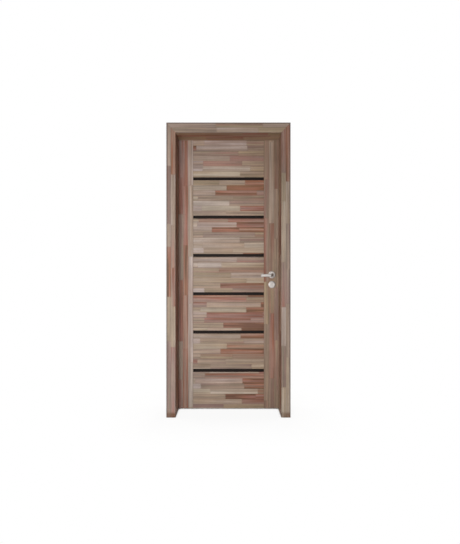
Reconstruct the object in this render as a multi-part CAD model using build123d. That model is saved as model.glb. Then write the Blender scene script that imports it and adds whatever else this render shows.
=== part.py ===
"""Exterior door set: a timber frame with planted stops, cased on both faces, and a leaf that opens inwards.

Millimetres. X runs from the hinge jamb to the lock jamb, Y from outdoors to indoors, Z up.
The origin is on the wall face of the hinge jamb, at floor level, halfway through the wall.
"""
from build123d import *

import os

# Leaf
LEAF_WIDTH = 770
LEAF_HEIGHT = 2040
LEAF_THICKNESS = 40
SIDE_GAP = 5.5
TOP_GAP = 5.5
FLOOR_GAP = 5
SHOULDER_GAP = 5.5
EDGE_BEVEL = 1.5
STILE_WIDTH = 116
BOTTOM_PANEL = 276
STRIP_HEIGHT = 23
STRIP_PITCH = 291.5
STRIP_COUNT = 6
STRIP_RECESS = 1.5
FACE_ARRIS = 1.2
TONGUE = 12
TONGUE_THICKNESS = 12
GROOVE_ROOM = 0.5
SPLINE = 10

# Frame
JAMB_DEPTH = 190
JAMB_THICKNESS = 33
STOP_THICKNESS = 12
STOP_ARRIS = 2
CASING_LEG = 66
CASING_HEAD = 72
CASING_THICKNESS = 15
REAR_QUIRK = 8
CASING_OUTER_ROUND = 3
CASING_INNER_ROUND = 2

# Butt hinges
HINGE_HEIGHT = 100
HINGE_PLATE = 2.5
HINGE_PLATE_DEPTH = 30
HINGE_FROM_TOP = 200
HINGE_FROM_BOTTOM = 230
KNUCKLES = 3
KNUCKLE_RADIUS = 6
KNUCKLE_ROOM = 0.5
PIN_RADIUS = 3
PIN_CLEARANCE = 0.08
PIN_OFFSET = 6.5

# Lock and lever set
LEVER_Z = 1020
BACKSET = 55
LOCK_SPACING = 72
LEVER_REACH = 88
LEVER_STAND_OFF = 50
LEVER_DROP = 4.5
LEVER_HEIGHT = 20.5
LEVER_THICKNESS = 10
LEVER_BEVEL = 2.5
LEVER_BEND = 17
NECK_RADIUS = 9.5
NECK_LENGTH = 24
NECK_ROOT = 20
NECK_ROOM = 0.4
ROSE_RADIUS = 27
ROSE_CROWN_RADIUS = 20
ROSE_THICKNESS = 8
ROSE_SLOPE = 3
ESCUTCHEON_DROP = 3
SPINDLE = 8
SPINDLE_GRIP = 18
PLUG_RADIUS = 8.5
TAIL_WIDTH = 10
TAIL_CENTRE = 19.5
PLUG_PROUD = 2
KEYWAY_WIDTH = 2
KEYWAY_HEIGHT = 9
KEYWAY_DEPTH = 8
CYLINDER_ROOM = 0.3
FACEPLATE_WIDTH = 20
FACEPLATE_HEIGHT = 235
FACEPLATE_THICKNESS = 3
LOCK_CASE_DEPTH = 78
LOCK_CASE_HEIGHT = 165
LOCK_CASE_THICKNESS = 15
MORTISE_ROOM = 0.5
FOLLOWER_RADIUS = 8
BOLT_WIDTH = 13
LATCH_HEIGHT = 22
LATCH_RISE = 24
DEADBOLT_HEIGHT = 32
DEADBOLT_DROP = 34
STRIKE_WIDTH = 26
STRIKE_HEIGHT = 170
STRIKE_THICKNESS = 2
SOCKET_ROOM = 2
SOCKET_DEPTH = 14

# Lines across the wall, from outdoors to indoors
FRONT_Y = -JAMB_DEPTH / 2
BACK_Y = JAMB_DEPTH / 2
LEAF_FRONT = BACK_Y - LEAF_THICKNESS
LEAF_MIDDLE = BACK_Y - LEAF_THICKNESS / 2
SHOULDER_Y = LEAF_FRONT - SHOULDER_GAP

# Lines along the wall, from the hinge jamb to the lock jamb
LEAF_HINGE_X = JAMB_THICKNESS + SIDE_GAP
LEAF_LOCK_X = LEAF_HINGE_X + LEAF_WIDTH
LOCK_FACE_X = LEAF_LOCK_X + SIDE_GAP
FRAME_WIDTH = LOCK_FACE_X + JAMB_THICKNESS
OPENING_LEFT = JAMB_THICKNESS + STOP_THICKNESS
OPENING_RIGHT = LOCK_FACE_X - STOP_THICKNESS
PANEL_LEFT = LEAF_HINGE_X + STILE_WIDTH
PANEL_RIGHT = LEAF_LOCK_X - STILE_WIDTH
LEVER_X = LEAF_LOCK_X - BACKSET
PIN_X = JAMB_THICKNESS + SIDE_GAP / 2
PIN_Y = BACK_Y + PIN_OFFSET

# Levels from the floor up
LEAF_BOTTOM = FLOOR_GAP
LEAF_TOP = LEAF_BOTTOM + LEAF_HEIGHT
HEAD_FACE_Z = LEAF_TOP + TOP_GAP
SOFFIT_Z = HEAD_FACE_Z - STOP_THICKNESS
HEAD_TOP = HEAD_FACE_Z + JAMB_THICKNESS
FIRST_STRIP_Z = LEAF_BOTTOM + BOTTOM_PANEL + STRIP_HEIGHT / 2
KEY_Z = LEVER_Z - LOCK_SPACING
LOCK_MIDDLE_Z = (LEVER_Z + KEY_Z) / 2
HINGE_LEVELS = {
    "bottom": LEAF_BOTTOM + HINGE_FROM_BOTTOM,
    "middle": (LEAF_BOTTOM + HINGE_FROM_BOTTOM + LEAF_TOP - HINGE_FROM_TOP) / 2,
    "top": LEAF_TOP - HINGE_FROM_TOP,
}

TONGUE_Y = (LEAF_MIDDLE - TONGUE_THICKNESS / 2, LEAF_MIDDLE + TONGUE_THICKNESS / 2)


def block(x, y, z):
    """A box between two values on each axis."""
    size = [high - low for low, high in (x, y, z)]
    return Pos(x[0], y[0], z[0]) * Box(*size, align=(Align.MIN, Align.MIN, Align.MIN))


def upright(points, z):
    """An outline in plan, raised between two levels."""
    outline = make_face(Polyline(*[(px, py, z[0]) for px, py in points], close=True))
    return extrude(outline, amount=z[1] - z[0], dir=(0, 0, 1))


def through_wall(points, y):
    """An outline seen from the front, carried through between two depths."""
    outline = make_face(Polyline(*[(px, y[0], pz) for px, pz in points], close=True))
    return extrude(outline, amount=y[1] - y[0], dir=(0, 1, 0))


def disc(x, z, radius, y):
    """A round bar across the wall."""
    middle = (y[0] + y[1]) / 2
    return Pos(x, middle, z) * Rot(90, 0, 0) * Cylinder(radius, y[1] - y[0])


def post(x, y, radius, z):
    """A round bar standing up."""
    return Pos(x, y, (z[0] + z[1]) / 2) * Cylinder(radius, z[1] - z[0])


def flip(solid):
    """The same piece on the other face of the leaf."""
    return mirror(solid, about=Plane(origin=(0, LEAF_MIDDLE, 0), z_dir=(0, 1, 0)))


def hinge_jamb():
    """Hinge jamb with a recess for each frame plate."""
    solid = block((0, JAMB_THICKNESS), (FRONT_Y, BACK_Y), (0, HEAD_FACE_Z))
    for level in HINGE_LEVELS.values():
        solid -= hinge_recess((JAMB_THICKNESS - HINGE_PLATE, JAMB_THICKNESS), level)
    return solid


def stop_board(x, z, run, face_edges):
    """Board planted on a jamb or the head, its two long arrises eased. The leaf closes in behind it."""
    solid = block(x, (FRONT_Y, SHOULDER_Y), z)
    long_edges = solid.edges().filter_by(run)
    return fillet([long_edges.sort_by_distance(point)[0] for point in face_edges], STOP_ARRIS)


def side_stop(wall_x, face_x):
    """Stop board of one jamb, full height."""
    middle = HEAD_FACE_Z / 2
    x = (min(wall_x, face_x), max(wall_x, face_x))
    face_edges = [(face_x, FRONT_Y, middle), (face_x, SHOULDER_Y, middle)]
    return stop_board(x, (0, HEAD_FACE_Z), Axis.Z, face_edges)


def head_stop():
    """Stop board under the head, between the side boards."""
    middle = FRAME_WIDTH / 2
    face_edges = [(middle, FRONT_Y, SOFFIT_Z), (middle, SHOULDER_Y, SOFFIT_Z)]
    return stop_board((OPENING_LEFT, OPENING_RIGHT), (SOFFIT_Z, HEAD_FACE_Z), Axis.X, face_edges)


def bolt_openings(x, room):
    """The latch and deadbolt places as blocks between two values along the wall."""
    width = BOLT_WIDTH + 2 * room
    y = (LEAF_MIDDLE - width / 2, LEAF_MIDDLE + width / 2)
    places = ((LEVER_Z + LATCH_RISE, LATCH_HEIGHT), (LEVER_Z - DEADBOLT_DROP, DEADBOLT_HEIGHT))
    blocks = []
    for centre, height in places:
        half = height / 2 + room
        blocks.append(block(x, y, (centre - half, centre + half)))
    return blocks


def strike_space(x):
    """The strike plate's outline between two values along the wall."""
    y = (LEAF_MIDDLE - STRIKE_WIDTH / 2, LEAF_MIDDLE + STRIKE_WIDTH / 2)
    middle = LEVER_Z - (DEADBOLT_DROP - LATCH_RISE) / 2
    return block(x, y, (middle - STRIKE_HEIGHT / 2, middle + STRIKE_HEIGHT / 2))


def lock_jamb():
    """Lock jamb with the strike plate's recess and the two sockets behind it."""
    solid = block((LOCK_FACE_X, FRAME_WIDTH), (FRONT_Y, BACK_Y), (0, HEAD_FACE_Z))
    solid -= strike_space((LOCK_FACE_X, LOCK_FACE_X + STRIKE_THICKNESS))
    for socket in bolt_openings((LOCK_FACE_X, LOCK_FACE_X + SOCKET_DEPTH), SOCKET_ROOM):
        solid -= socket
    return solid


def strike_plate():
    """Flat plate with a hole for the latch and one for the deadbolt."""
    x = (LOCK_FACE_X, LOCK_FACE_X + STRIKE_THICKNESS)
    solid = strike_space(x)
    for hole in bolt_openings(x, SOCKET_ROOM):
        solid -= hole
    return solid


def head_jamb():
    """Head of the frame, lying on both jambs."""
    return block((0, FRAME_WIDTH), (FRONT_Y, BACK_Y), (HEAD_FACE_Z, HEAD_TOP))


def ease(solid, run, outer_at, inner_at):
    """Round a casing board's two long arrises, the outer one more."""
    outer = solid.edges().filter_by(run).sort_by_distance(outer_at)[0]
    solid = fillet(outer, CASING_OUTER_ROUND)
    inner = solid.edges().filter_by(run).sort_by_distance(inner_at)[0]
    return fillet(inner, CASING_INNER_ROUND)


def casing(inner_left, inner_right, inner_top, y, face_y):
    """Two legs and a head, mitred at the corners, round one face of the frame."""
    outer_left = inner_left - CASING_LEG
    outer_right = inner_right + CASING_LEG
    outer_top = inner_top + CASING_HEAD
    half_height = inner_top / 2
    centre_x = (inner_left + inner_right) / 2
    boards = {}
    for side, inner, outer in (("left", inner_left, outer_left), ("right", inner_right, outer_right)):
        leg = through_wall([(inner, 0), (outer, 0), (outer, outer_top), (inner, inner_top)], y)
        boards[side] = ease(leg, Axis.Z, (outer, face_y, half_height), (inner, face_y, half_height))
    inner_line = [(inner_right, inner_top), (inner_left, inner_top)]
    outer_line = [(outer_left, outer_top), (outer_right, outer_top)]
    head = through_wall(inner_line + outer_line, y)
    boards["head"] = ease(head, Axis.X, (centre_x, face_y, outer_top), (centre_x, face_y, inner_top))
    return boards


def front_casing():
    """Casing on the outdoor face, level with the faces of the stop boards."""
    y = (FRONT_Y - CASING_THICKNESS, FRONT_Y)
    return casing(OPENING_LEFT, OPENING_RIGHT, SOFFIT_Z, y, y[0])


def rear_casing():
    """Casing on the indoor face, set back from the jambs' faces so that the hinge knuckles clear it."""
    y = (BACK_Y, BACK_Y + CASING_THICKNESS)
    left = JAMB_THICKNESS - REAR_QUIRK
    right = LOCK_FACE_X + REAR_QUIRK
    return casing(left, right, HEAD_FACE_Z + REAR_QUIRK, y, y[1])


def stile(inner_x, outer_front_x, outer_back_x):
    """Grooved upright of the leaf with eased face arrises."""
    towards_edge = 1 if outer_front_x > inner_x else -1
    groove_x = inner_x + towards_edge * (TONGUE + GROOVE_ROOM)
    outline = [
        (inner_x, LEAF_FRONT),
        (outer_front_x, LEAF_FRONT),
        (outer_back_x, BACK_Y),
        (inner_x, BACK_Y),
        (inner_x, TONGUE_Y[1]),
        (groove_x, TONGUE_Y[1]),
        (groove_x, TONGUE_Y[0]),
        (inner_x, TONGUE_Y[0]),
    ]
    solid = upright(outline, (LEAF_BOTTOM, LEAF_TOP))
    uprights = solid.edges().filter_by(Axis.Z)
    front = uprights.filter_by_position(Axis.Y, LEAF_FRONT, LEAF_FRONT)
    back = uprights.filter_by_position(Axis.Y, BACK_Y, BACK_Y)
    return chamfer(front + back, FACE_ARRIS)


def hinge_stile():
    """Hinge stile with a recess for each leaf plate."""
    solid = stile(PANEL_LEFT, LEAF_HINGE_X, LEAF_HINGE_X)
    for level in HINGE_LEVELS.values():
        solid -= hinge_recess((LEAF_HINGE_X, LEAF_HINGE_X + HINGE_PLATE), level)
    return solid


def lock_stile():
    """Lock stile: bevelled edge, mortise for the lock, and holes for the spindle and the cylinder."""
    solid = stile(PANEL_RIGHT, LEAF_LOCK_X - EDGE_BEVEL, LEAF_LOCK_X)
    through = (LEAF_FRONT, BACK_Y)
    solid -= faceplate((faceplate_back(), LEAF_LOCK_X))
    solid -= lock_case(MORTISE_ROOM)
    solid -= disc(LEVER_X, LEVER_Z, FOLLOWER_RADIUS + MORTISE_ROOM, through)
    solid -= cylinder_bar(through, CYLINDER_ROOM)
    return solid


def panel(z, grooved_below, grooved_above):
    """Flush panel with tongues for the stiles and grooves for the strips' splines."""
    body = block((PANEL_LEFT, PANEL_RIGHT), (LEAF_FRONT, BACK_Y), z)
    faces = body.faces().sort_by(Axis.Y)
    solid = chamfer(faces[0].edges() + faces[-1].edges(), FACE_ARRIS)
    whole_x = (PANEL_LEFT - TONGUE, PANEL_RIGHT + TONGUE)
    solid += block(whole_x, TONGUE_Y, z)
    depth = SPLINE + GROOVE_ROOM
    if grooved_below:
        solid -= block(whole_x, TONGUE_Y, (z[0], z[0] + depth))
    if grooved_above:
        solid -= block(whole_x, TONGUE_Y, (z[1] - depth, z[1]))
    return solid


def strip(centre):
    """Dark strip, a little below both faces, with a spline into the panels and the stiles."""
    y = (LEAF_FRONT + STRIP_RECESS, BACK_Y - STRIP_RECESS)
    half = STRIP_HEIGHT / 2
    bar = block((PANEL_LEFT, PANEL_RIGHT), y, (centre - half, centre + half))
    reach = half + SPLINE
    whole_x = (PANEL_LEFT - TONGUE, PANEL_RIGHT + TONGUE)
    return bar + block(whole_x, TONGUE_Y, (centre - reach, centre + reach))


def leaf_filling():
    """Panels and strips from the bottom of the leaf to its top."""
    pieces = {}
    low = LEAF_BOTTOM
    for index in range(STRIP_COUNT):
        centre = FIRST_STRIP_Z + index * STRIP_PITCH
        pieces[f"panel_{index + 1}"] = panel((low, centre - STRIP_HEIGHT / 2), index > 0, True)
        pieces[f"dark_strip_{index + 1}"] = strip(centre)
        low = centre + STRIP_HEIGHT / 2
    pieces[f"panel_{STRIP_COUNT + 1}"] = panel((low, LEAF_TOP), True, False)
    return pieces


def hinge_recess(x, level):
    """Space for one hinge plate, open to the indoor face."""
    y = (BACK_Y - HINGE_PLATE_DEPTH, BACK_Y)
    return block(x, y, (level - HINGE_HEIGHT / 2, level + HINGE_HEIGHT / 2))


def hinge_plate(x, level, own_knuckles):
    """Plate with its own knuckles, each carried by an arm that runs into the barrel."""
    solid = hinge_recess(x, level)
    bottom = level - HINGE_HEIGHT / 2
    step = HINGE_HEIGHT / KNUCKLES
    for index in own_knuckles:
        z = (bottom + index * step + KNUCKLE_ROOM / 2, bottom + (index + 1) * step - KNUCKLE_ROOM / 2)
        solid += block(x, (BACK_Y, PIN_Y), z)
        solid += post(PIN_X, PIN_Y, KNUCKLE_RADIUS, z)
    return solid


def hinge_frame_plate(level):
    """Frame half of a hinge. The riveted pin is one piece with it."""
    solid = hinge_plate((JAMB_THICKNESS - HINGE_PLATE, JAMB_THICKNESS), level, range(0, KNUCKLES, 2))
    reach = HINGE_HEIGHT / 2 - KNUCKLE_ROOM / 2
    return solid + post(PIN_X, PIN_Y, PIN_RADIUS, (level - reach, level + reach))


def hinge_leaf_plate(level):
    """Leaf half of a hinge, bored to turn on the pin."""
    solid = hinge_plate((LEAF_HINGE_X, LEAF_HINGE_X + HINGE_PLATE), level, range(1, KNUCKLES, 2))
    half = HINGE_HEIGHT / 2
    return solid - post(PIN_X, PIN_Y, PIN_RADIUS + PIN_CLEARANCE, (level - half, level + half))


def faceplate_back():
    """Where the lock's faceplate meets the wood."""
    return LEAF_LOCK_X - EDGE_BEVEL - FACEPLATE_THICKNESS


def faceplate(x):
    """The faceplate's outline between two values along the wall."""
    y = (LEAF_MIDDLE - FACEPLATE_WIDTH / 2, LEAF_MIDDLE + FACEPLATE_WIDTH / 2)
    half = FACEPLATE_HEIGHT / 2
    return block(x, y, (LOCK_MIDDLE_Z - half, LOCK_MIDDLE_Z + half))


def lock_case(room):
    """The lock's case behind the faceplate, larger by some room for its mortise."""
    back = faceplate_back()
    x = (back - LOCK_CASE_DEPTH - room, back)
    y = (LEAF_MIDDLE - LOCK_CASE_THICKNESS / 2 - room, LEAF_MIDDLE + LOCK_CASE_THICKNESS / 2 + room)
    half = LOCK_CASE_HEIGHT / 2 + room
    return block(x, y, (LOCK_MIDDLE_Z - half, LOCK_MIDDLE_Z + half))


def mortise_lock():
    """Case and faceplate, with the latch and deadbolt drawn in level with the edge of the leaf."""
    front = LEAF_LOCK_X - EDGE_BEVEL
    solid = lock_case(0) + faceplate((faceplate_back(), front))
    solid -= disc(LEVER_X, LEVER_Z, FOLLOWER_RADIUS, (LEAF_FRONT, BACK_Y))
    solid -= cylinder_bar((LEAF_FRONT, BACK_Y), 0)
    for bolt in bolt_openings((front, LEAF_LOCK_X), 0):
        solid += bolt
    return solid


def cylinder_bar(y, room):
    """Profile cylinder: a round plug with a straight tail that ends in a half circle."""
    tail_half = TAIL_WIDTH / 2 + room
    solid = disc(LEVER_X, KEY_Z, PLUG_RADIUS + room, y)
    solid += block((LEVER_X - tail_half, LEVER_X + tail_half), y, (KEY_Z - TAIL_CENTRE, KEY_Z))
    return solid + disc(LEVER_X, KEY_Z - TAIL_CENTRE, tail_half, y)


def lock_cylinder():
    """Cylinder through the leaf and both escutcheons, with a keyway in each end."""
    reach = ROSE_THICKNESS + PLUG_PROUD
    y = (LEAF_FRONT - reach, BACK_Y + reach)
    solid = cylinder_bar(y, 0)
    x = (LEVER_X - KEYWAY_WIDTH / 2, LEVER_X + KEYWAY_WIDTH / 2)
    z = (KEY_Z - KEYWAY_HEIGHT / 2, KEY_Z + KEYWAY_HEIGHT / 2)
    keyway = block(x, (y[0], y[0] + KEYWAY_DEPTH), z)
    return solid - keyway - flip(keyway)


def round_cover(z):
    """Round metal cover on the outdoor face of the leaf: a low rim that slopes up to a flat crown."""
    shoulder = LEAF_FRONT - ROSE_THICKNESS + ROSE_SLOPE
    rim = disc(LEVER_X, z, ROSE_RADIUS, (shoulder, LEAF_FRONT))
    slope = Rot(90, 0, 0) * Cone(ROSE_RADIUS, ROSE_CROWN_RADIUS, ROSE_SLOPE)
    return rim + Pos(LEVER_X, shoulder - ROSE_SLOPE / 2, z) * slope


def rose():
    """Lever rose with a hole for the lever's neck."""
    front = LEAF_FRONT - ROSE_THICKNESS
    return round_cover(LEVER_Z) - disc(LEVER_X, LEVER_Z, NECK_RADIUS + NECK_ROOM, (front, LEAF_FRONT))


def escutcheon():
    """Cylinder cover with the cylinder's outline cut through it."""
    front = LEAF_FRONT - ROSE_THICKNESS
    return round_cover(KEY_Z - ESCUTCHEON_DROP) - cylinder_bar((front, LEAF_FRONT), CYLINDER_ROOM)


def spindle_bar():
    """Square bar that carries both levers through the leaf."""
    half = SPINDLE / 2
    y = (LEAF_FRONT - SPINDLE_GRIP, BACK_Y + SPINDLE_GRIP)
    return block((LEVER_X - half, LEVER_X + half), y, (LEVER_Z - half, LEVER_Z + half))


def lever():
    """Flat lever: out of its round neck, down a little, round a bend, then level towards the hinge side."""
    neck = disc(LEVER_X, LEVER_Z, NECK_RADIUS, (LEAF_FRONT - NECK_LENGTH, LEAF_FRONT - NECK_ROOM))
    root = Vector(LEVER_X, LEAF_FRONT - NECK_ROOT, LEVER_Z)
    corner = Vector(LEVER_X, LEAF_FRONT - LEVER_STAND_OFF, LEVER_Z - LEVER_DROP)
    end = corner - Vector(LEVER_REACH, 0, 0)
    route = FilletPolyline(root, corner, end, radius=LEVER_BEND)
    outline = Rectangle(LEVER_THICKNESS, LEVER_HEIGHT)
    section = chamfer(outline.vertices(), LEVER_BEVEL)
    bar = sweep(Plane(origin=root, x_dir=(1, 0, 0), z_dir=corner - root) * section, path=route)
    tip = bar.faces().sort_by(Axis.X)[0]
    return neck + chamfer(tip.edges(), LEVER_BEVEL) - spindle_bar()


def door_set():
    """Every piece of the door set by name."""
    pieces = {
        "jamb_hinge_side": hinge_jamb(),
        "jamb_lock_side": lock_jamb(),
        "head_jamb": head_jamb(),
        "stop_hinge_side": side_stop(JAMB_THICKNESS, OPENING_LEFT),
        "stop_lock_side": side_stop(LOCK_FACE_X, OPENING_RIGHT),
        "stop_head": head_stop(),
        "strike_plate": strike_plate(),
        "stile_hinge_side": hinge_stile(),
        "stile_lock_side": lock_stile(),
        "mortise_lock": mortise_lock(),
        "lock_cylinder": lock_cylinder(),
        "rose_front": rose(),
        "rose_rear": flip(rose()),
        "escutcheon_front": escutcheon(),
        "escutcheon_rear": flip(escutcheon()),
        "lever_front": lever(),
        "lever_rear": flip(lever()),
        "spindle": spindle_bar(),
    }
    for face, boards in (("front", front_casing()), ("rear", rear_casing())):
        for place, board in boards.items():
            pieces[f"{face}_casing_{place}"] = board
    for place, level in HINGE_LEVELS.items():
        pieces[f"{place}_hinge_frame_plate"] = hinge_frame_plate(level)
        pieces[f"{place}_hinge_leaf_plate"] = hinge_leaf_plate(level)
    pieces.update(leaf_filling())
    return pieces


os.makedirs("parts", exist_ok=True)
for name, piece in door_set().items():
    export_step(piece, f"parts/{name}.step")
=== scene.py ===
# %% [markdown]
# # An exterior door set in laminated wood
# The imported model already holds every board, hinge and lever at its real size, in metres: X runs from the
# hinge jamb to the lock jamb, Y from outdoors to indoors, and Z up. This lesson gives each surface its
# finish, adds the small fasteners, and sets up the light and the camera. The size box is kept now, and the
# floor's shading is measured from it.

# %% Load the imported door set
import math

import bmesh
import bpy
from mathutils import Matrix, Vector


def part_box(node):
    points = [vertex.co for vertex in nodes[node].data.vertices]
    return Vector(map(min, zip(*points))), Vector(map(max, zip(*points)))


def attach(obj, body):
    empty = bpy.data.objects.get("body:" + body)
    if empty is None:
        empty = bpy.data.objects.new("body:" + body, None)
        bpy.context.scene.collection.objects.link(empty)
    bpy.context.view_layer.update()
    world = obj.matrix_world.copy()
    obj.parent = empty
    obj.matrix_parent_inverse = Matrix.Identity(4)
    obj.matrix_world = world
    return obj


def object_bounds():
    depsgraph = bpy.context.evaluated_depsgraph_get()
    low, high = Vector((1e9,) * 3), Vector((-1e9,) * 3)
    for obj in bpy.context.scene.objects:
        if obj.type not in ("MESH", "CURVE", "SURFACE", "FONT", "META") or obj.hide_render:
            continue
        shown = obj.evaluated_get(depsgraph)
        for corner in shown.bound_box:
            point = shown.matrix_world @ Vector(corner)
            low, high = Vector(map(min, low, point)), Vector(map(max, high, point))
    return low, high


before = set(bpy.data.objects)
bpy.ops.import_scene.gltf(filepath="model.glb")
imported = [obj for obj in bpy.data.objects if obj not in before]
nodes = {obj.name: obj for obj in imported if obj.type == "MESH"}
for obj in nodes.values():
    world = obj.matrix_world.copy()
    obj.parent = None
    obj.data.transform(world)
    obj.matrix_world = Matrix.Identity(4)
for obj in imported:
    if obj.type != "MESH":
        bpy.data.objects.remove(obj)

MM = 0.001
cad_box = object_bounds()
print("pieces from the packed model:", len(nodes))

# %% [markdown]
# ## Small tools for shader nodes
# A shader is a graph: each node takes values in at its sockets and hands a result on. Clicking such a graph
# together is slow to repeat, so a few helpers add a node, set its options and feed its sockets in one line
# each. The Mix node has a set of sockets for each kind of data, all with the same names, so its colour
# sockets are picked by number.

# %% Helpers that add, feed and combine nodes
COLOUR_UNDER = 6
COLOUR_OVER = 7
COLOUR_RESULT = 2


def feed(tree, socket, value):
    """Link another node's output to a socket, or write a plain value into it."""
    if isinstance(value, bpy.types.NodeSocket):
        tree.links.new(value, socket)
    else:
        socket.default_value = value


def add(tree, kind, sockets=None, **options):
    """Add one shader node, set its options, then feed its sockets by name."""
    node = tree.nodes.new("ShaderNode" + kind)
    for option, value in options.items():
        setattr(node, option, value)
    for name, value in (sockets or {}).items():
        feed(tree, node.inputs[name], value)
    return node


def calc(tree, operation, *values):
    """One step of arithmetic."""
    node = add(tree, "Math", operation=operation)
    for socket, value in zip(node.inputs, values):
        feed(tree, socket, value)
    return node.outputs["Value"]


def spread(tree, value, low, high, to_low=0.0, to_high=1.0):
    """Carry a value from one span over to another, held at both ends."""
    sockets = {"Value": value, "From Min": low, "From Max": high, "To Min": to_low, "To Max": to_high}
    return add(tree, "MapRange", sockets, clamp=True).outputs["Result"]


def lay_over(tree, amount, under, over, mode="MIX"):
    """Lay one colour over another by some amount."""
    node = add(tree, "Mix", {"Factor": amount}, data_type="RGBA", blend_type=mode)
    feed(tree, node.inputs[COLOUR_UNDER], under)
    feed(tree, node.inputs[COLOUR_OVER], over)
    return node.outputs[COLOUR_RESULT]


def point(tree, x, y, z):
    """Put three values together as one place in space."""
    return add(tree, "CombineXYZ", {"X": x, "Y": y, "Z": z}).outputs["Vector"]


def length_of(tree, place):
    """How far a place is from the origin."""
    return add(tree, "VectorMath", {0: place}, operation="LENGTH").outputs["Value"]


def noise(tree, place, detail=2.0, roughness=0.5):
    """Soft cloudy noise between 0 and 1. Its scale is set by stretching the place that it is read at."""
    sockets = {"Vector": place, "Scale": 1.0, "Detail": detail, "Roughness": roughness}
    return add(tree, "TexNoise", sockets).outputs["Fac"]


def chance(tree, first, second, third):
    """A node with one random value and one random colour for each set of three whole numbers."""
    return add(tree, "TexWhiteNoise", {"Vector": point(tree, first, second, third)}, noise_dimensions="3D")


print("node helpers ready")

# %% [markdown]
# ## Starting a node group
# Staves, grain and worn edges show on many boards. A node group is built once and placed in each material
# with its own numbers, so a change to the group changes every board. Its sockets are declared on the group's
# interface.

# %% Helpers that start and place a node group
def new_group(title, inputs, outputs):
    """An empty node group, with its inner ends of the named inputs and outputs."""
    tree = bpy.data.node_groups.new(title, "ShaderNodeTree")
    for direction, sockets in (("INPUT", inputs), ("OUTPUT", outputs)):
        for name, kind in sockets.items():
            tree.interface.new_socket(name, in_out=direction, socket_type="NodeSocket" + kind)
    given = tree.nodes.new("NodeGroupInput").outputs
    result = tree.nodes.new("NodeGroupOutput").inputs
    return tree, given, result


def place_group(tree, group, **sockets):
    """Put a node group in a material and feed its inputs by name."""
    return add(tree, "Group", sockets, node_tree=group).outputs


print("group helpers ready")

# %% [markdown]
# ## How the staves lie
# The boards are glued up from narrow staves. Each row holds staves of mixed lengths that meet end to end in
# finger joints, so no two boards look alike. One could model every stave, but they lie flush, and a thousand
# thin solids would add nothing to the shape. The layout is worked out in the shader instead: the row comes
# from the distance across the board, a random start shifts each row, and a random number moves each stave's
# end. The same numbers then pick the stave's tone and give the dark glue lines.

# %% Node group: stave layout
GLUE_LINE = 0.35 * MM
FINGER_PITCH = 7 * MM
FINGER_DEPTH = 9 * MM
# In stave lengths: where an end may lie, how far a row may start from its neighbour, and a stave's middle.
END_SHIFT = (0.08, 0.68)
ROW_SHIFT = 7.0
STAVE_MIDDLE = 0.9
# Added to the seed, so that tones and ends are dealt apart.
TONE_SALT = 31.0
# The stain beside a glue line: how far it reaches, and its strength from stave to stave.
SIDE_REACH = 2.5 * MM
SIDE_SPAN = (0.35, 1.25)


def make_stave_layout():
    """Tone and Shade pick a stave's colour and Shift its hue and grain. Middle is its place along the board.

    Joint marks the glue lines, and Side the sides of the staves next to them.
    """
    inputs = dict.fromkeys(("Along", "Across", "Width", "Length", "Seed"), "Float")
    outputs = dict.fromkeys(("Tone", "Shade", "Shift", "Middle", "Joint", "Side"), "Float")
    tree, given, result = new_group("stave_layout", inputs, outputs)
    rows = calc(tree, "DIVIDE", given["Across"], given["Width"])
    row = calc(tree, "FLOOR", rows)
    row_start = chance(tree, row, given["Seed"], 0.0).outputs["Value"]
    tooth = calc(tree, "PINGPONG", given["Across"], FINGER_PITCH / 2)
    toothed = calc(tree, "MULTIPLY_ADD", tooth, 2 * FINGER_DEPTH / FINGER_PITCH, given["Along"])
    lengths = calc(tree, "DIVIDE", toothed, given["Length"])
    row_shift = calc(tree, "MULTIPLY", row_start, ROW_SHIFT)
    position = calc(tree, "ADD", lengths, row_shift)
    cell = calc(tree, "FLOOR", position)
    shift = spread(tree, chance(tree, row, cell, given["Seed"]).outputs["Value"], 0.0, 1.0, *END_SHIFT)
    past_end = calc(tree, "SUBTRACT", position, calc(tree, "ADD", cell, shift))
    stave = calc(tree, "SUBTRACT", cell, calc(tree, "LESS_THAN", past_end, 0.0))
    picked = chance(tree, row, stave, calc(tree, "ADD", given["Seed"], TONE_SALT))
    split = add(tree, "SeparateColor", {"Color": picked.outputs["Color"]}).outputs
    feed(tree, result["Tone"], split["Red"])
    feed(tree, result["Shade"], split["Green"])
    feed(tree, result["Shift"], split["Blue"])
    counted = calc(tree, "SUBTRACT", calc(tree, "ADD", stave, STAVE_MIDDLE), row_shift)
    feed(tree, result["Middle"], calc(tree, "MULTIPLY", counted, given["Length"]))
    to_end = calc(tree, "MULTIPLY", calc(tree, "ABSOLUTE", past_end), given["Length"])
    to_side = calc(tree, "MULTIPLY", calc(tree, "PINGPONG", rows, 0.5), given["Width"])
    nearest = calc(tree, "MINIMUM", to_end, to_side)
    feed(tree, result["Joint"], spread(tree, nearest, GLUE_LINE, 2 * GLUE_LINE, 1.0, 0.0))
    stained = spread(tree, split["Green"], 0.0, 1.0, *SIDE_SPAN)
    near_side = spread(tree, to_side, 0.0, SIDE_REACH, 1.0, 0.0)
    feed(tree, result["Side"], calc(tree, "MULTIPLY", near_side, stained))
    return tree


stave_layout = make_stave_layout()
print("stave layout nodes:", len(stave_layout.nodes))

# %% [markdown]
# ## The tones of the staves
# Seen close, the wood is mostly beige and taupe, with pinkish, red-brown and khaki staves between. The tones
# are named here in order from pale to dark, with about the share of staves that have them. A colour ramp
# turns a stave's random number into a tone. Lean bends the choice towards the pale end or the red one, Drift
# moves it a little from streak to streak, because no stave has one even colour, and Hue tints it from cool to
# golden.

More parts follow.
